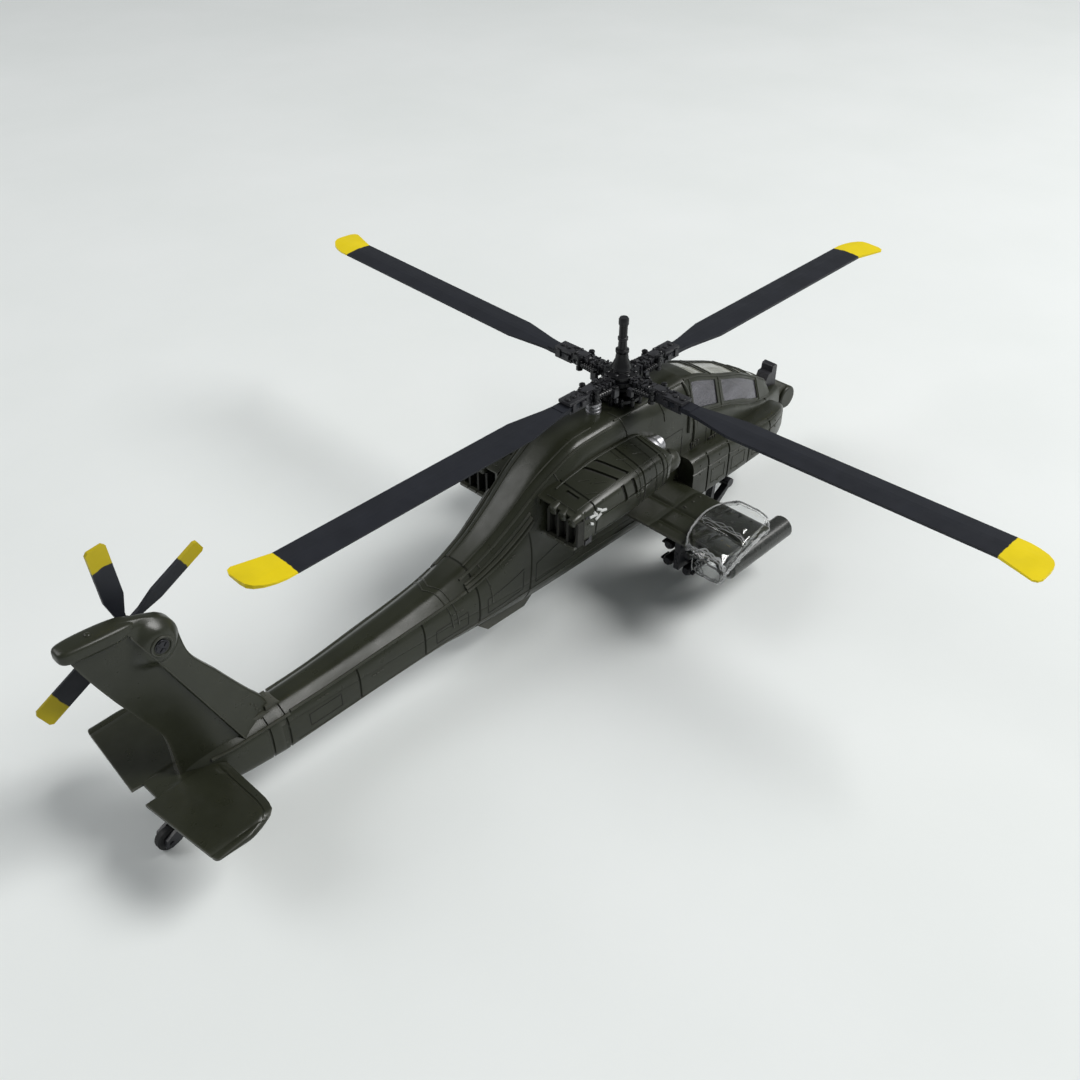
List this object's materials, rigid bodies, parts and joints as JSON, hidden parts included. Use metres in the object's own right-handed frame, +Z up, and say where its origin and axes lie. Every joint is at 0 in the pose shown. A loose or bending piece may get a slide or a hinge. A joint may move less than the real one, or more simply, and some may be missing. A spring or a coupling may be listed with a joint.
{
  "type": "toy helicopter",
  "caption": "Toy gunship helicopter with tandem cockpit, crossed main rotor, tail rotor, stub wings with stores and a three-wheel undercarriage; rotors and wheels turn.",
  "frame": {"origin": "on the ground plane, in the middle of the overall length and on the centre line", "axes": "+X to the nose, +Y to the port side, +Z up"},
  "size_m": [0.3156, 0.266, 0.0869],
  "materials": {
    "olive_paint": "dark olive paint with a soft gloss on die-cast metal",
    "olive_plastic": "dark olive moulded plastic",
    "black_plastic": "black moulded plastic",
    "blade_plastic": "charcoal moulded plastic with yellow painted tips",
    "tyre_rubber": "black soft plastic tyre",
    "clear_plastic": "clear glazing with a faint smoke tint",
    "clear_film": "thin clear wrinkled packing film",
    "beige_plastic": "beige moulded cockpit plastic",
    "silver_plastic": "bright silver plated plastic",
    "screw_steel": "blackened steel"
  },
  "bodies": {
    "root": {"beacon": "silver_plastic", "belly_fairing": "olive_plastic", "body_screws": "screw_steel", "canopy_frame": "olive_plastic", "canopy_glazing": "clear_plastic", "cockpit_seats": "beige_plastic", "cockpit_tub": "beige_plastic", "exhaust_inserts": "black_plastic", "film_wrap": "clear_film", "fin_screw": "screw_steel", "fuselage_lower": "olive_plastic", "fuselage_upper": "olive_paint", "instrument_panels": "beige_plastic", "intake_cones": "silver_plastic", "main_axles": "screw_steel", "main_gear_leg_left": "black_plastic", "main_gear_leg_right": "black_plastic", "missile_rack_left": "black_plastic", "missile_rack_right": "black_plastic", "missiles_left": "black_plastic", "missiles_right": "black_plastic", "nacelle_left": "olive_paint", "nacelle_right": "olive_paint", "night_sensor": "olive_plastic", "pylons_left": "olive_plastic", "pylons_right": "olive_plastic", "rocket_pod_left": "black_plastic", "rocket_pod_right": "black_plastic", "sensor_drum": "olive_plastic", "sensor_housing": "olive_plastic", "side_bay_left": "olive_paint", "side_bay_right": "olive_paint", "stabilizer": "olive_paint", "swashplate": "black_plastic", "tail_fin": "olive_paint", "tail_gear_fork": "black_plastic", "tail_rotor_pin": "screw_steel", "tail_wheel_pin": "screw_steel", "wing_left": "olive_paint", "wing_right": "olive_paint"},
    "main_rotor": {"rotor_shaft": "screw_steel", "rotor_retainer": "black_plastic", "rotor_hub": "black_plastic", "main_blade_1": "blade_plastic", "main_blade_2": "blade_plastic", "main_blade_3": "blade_plastic", "main_blade_4": "blade_plastic", "blade_pins": "black_plastic", "pitch_links": "black_plastic", "mast_post": "black_plastic"},
    "tail_rotor": {"tail_rotor_hub": "black_plastic", "tail_blade_pair_upright": "blade_plastic", "tail_blade_pair_slanted": "blade_plastic"},
    "wheel_left": {"main_tyre_left": "tyre_rubber", "main_rim_left": "black_plastic"},
    "wheel_right": {"main_tyre_right": "tyre_rubber", "main_rim_right": "black_plastic"},
    "tail_wheel_body": {"tail_wheel": "tyre_rubber"},
    "gun": {"gun_turret": "black_plastic", "gun_barrel": "black_plastic"}
  },
  "joints": [
    {"name": "main_rotor_spin", "type": "hinge", "parent": "root", "child": "main_rotor", "pos_m": [0.025, 0, 0.065], "axis": [0, 0, 1], "continuous": true},
    {"name": "tail_rotor_spin", "type": "hinge", "parent": "root", "child": "tail_rotor", "pos_m": [-0.1344, 0.007, 0.0614], "axis": [0, 1, 0], "continuous": true},
    {"name": "left_wheel_spin", "type": "hinge", "parent": "root", "child": "wheel_left", "pos_m": [0.055, 0.0185, 0.006], "axis": [0, 1, 0], "continuous": true},
    {"name": "right_wheel_spin", "type": "hinge", "parent": "root", "child": "wheel_right", "pos_m": [0.055, -0.0185, 0.006], "axis": [0, 1, 0], "continuous": true},
    {"name": "tail_wheel_spin", "type": "hinge", "parent": "root", "child": "tail_wheel_body", "pos_m": [-0.141, 0, 0.0031], "axis": [0, 1, 0], "continuous": true},
    {"name": "gun_turn", "type": "hinge", "parent": "root", "child": "gun", "pos_m": [0.076, 0, 0.01], "axis": [0, 0, 1], "range_deg": [-60, 60]}
  ]
}
